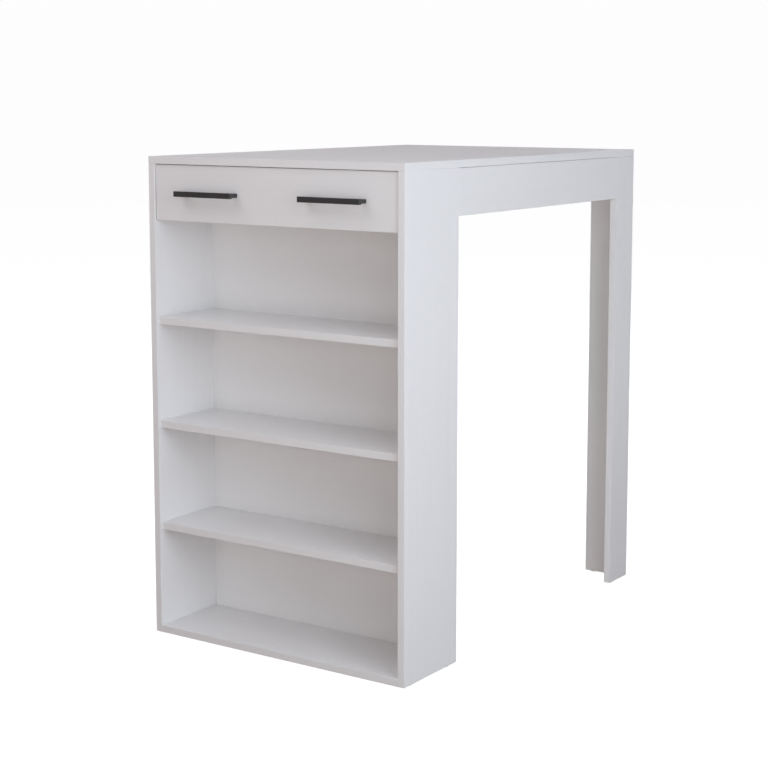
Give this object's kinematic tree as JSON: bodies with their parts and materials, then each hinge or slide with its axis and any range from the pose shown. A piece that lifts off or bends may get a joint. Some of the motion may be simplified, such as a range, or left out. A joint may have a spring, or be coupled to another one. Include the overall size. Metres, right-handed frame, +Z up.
{
  "type": "bar table",
  "caption": "Tall white board bar table with an open shelf cabinet at one end, a wide drawer with black bridge handles under the top, and corner legs with aprons.",
  "frame": {"origin": "on the floor, at the middle of the overall footprint, handles included", "axes": "+Z up, -Y out of the drawer front, +Y towards the legs at the far end, X across the drawer front"},
  "size_m": [0.628, 0.9654, 1],
  "materials": {
    "white_board": "white melamine facing on particle board, satin, with white edging",
    "white_panel": "white lacquered thin fibreboard, satin",
    "black_handle": "matte black powder coat",
    "white_rail": "white epoxy coat on pressed steel",
    "nylon": "moulded white nylon",
    "zinc_steel": "bright zinc plate",
    "zinc_cam": "die-cast zinc, dull",
    "beech": "plain beech, fluted dowel",
    "glide_plastic": "white moulded plastic"
  },
  "bodies": {
    "frame": {"apron_end": "white_board", "apron_left": "white_board", "apron_right": "white_board", "back_nails": "zinc_steel", "bracket_screws": "zinc_steel", "cabinet_back": "white_panel", "cabinet_bottom": "white_board", "cabinet_side_left": "white_board", "cabinet_side_right": "white_board", "cam_bolts": "zinc_steel", "cam_discs": "zinc_cam", "corner_brackets": "zinc_steel", "floor_glides": "glide_plastic", "front_roller_rivets": "zinc_steel", "leg_left_end": "white_board", "leg_left_side": "white_board", "leg_right_end": "white_board", "leg_right_side": "white_board", "rail_screws": "zinc_steel", "shelf_lower": "white_board", "shelf_middle": "white_board", "shelf_upper": "white_board", "slide_rail_left": "white_rail", "slide_rail_right": "white_rail", "table_top": "white_board", "wood_dowels": "beech"},
    "drawer": {"drawer_front": "white_board", "drawer_side_left": "white_board", "drawer_side_right": "white_board", "drawer_back": "white_board", "drawer_bottom": "white_panel", "handle_left": "black_handle", "handle_right": "black_handle", "handle_screws": "zinc_steel", "drawer_dowels": "beech", "drawer_cam_discs": "zinc_cam", "drawer_cam_bolts": "zinc_steel", "drawer_back_screws": "zinc_steel", "drawer_rail_left": "white_rail", "drawer_rail_right": "white_rail", "drawer_rail_screws": "zinc_steel", "rear_roller_rivets": "zinc_steel"},
    "front_roller_left": {"front_roller_left": "nylon"},
    "front_roller_right": {"front_roller_right": "nylon"},
    "rear_roller_left": {"rear_roller_left": "nylon"},
    "rear_roller_right": {"rear_roller_right": "nylon"}
  },
  "joints": [
    {"name": "drawer_slide", "type": "slide", "parent": "frame", "child": "drawer", "axis": [0, -1, 0], "range_m": [0, 0.105]},
    {"name": "front_roller_left_spin", "type": "hinge", "parent": "frame", "child": "front_roller_left", "pos_m": [-0.2927, -0.42825, 0.8921], "axis": [1, 0, 0], "continuous": true},
    {"name": "front_roller_right_spin", "type": "hinge", "parent": "frame", "child": "front_roller_right", "pos_m": [0.2927, -0.42825, 0.8921], "axis": [1, 0, 0], "continuous": true},
    {"name": "rear_roller_left_spin", "type": "hinge", "parent": "drawer", "child": "rear_roller_left", "pos_m": [-0.2928, -0.30025, 0.8915], "axis": [1, 0, 0], "continuous": true},
    {"name": "rear_roller_right_spin", "type": "hinge", "parent": "drawer", "child": "rear_roller_right", "pos_m": [0.2928, -0.30025, 0.8915], "axis": [1, 0, 0], "continuous": true}
  ],
  "couplings": [
    {"joint": "front_roller_left_spin", "follows": "drawer_slide", "rad_per_m": 111.11},
    {"joint": "front_roller_right_spin", "follows": "drawer_slide", "rad_per_m": 111.11},
    {"joint": "rear_roller_left_spin", "follows": "drawer_slide", "rad_per_m": 111.11},
    {"joint": "rear_roller_right_spin", "follows": "drawer_slide", "rad_per_m": 111.11}
  ]
}
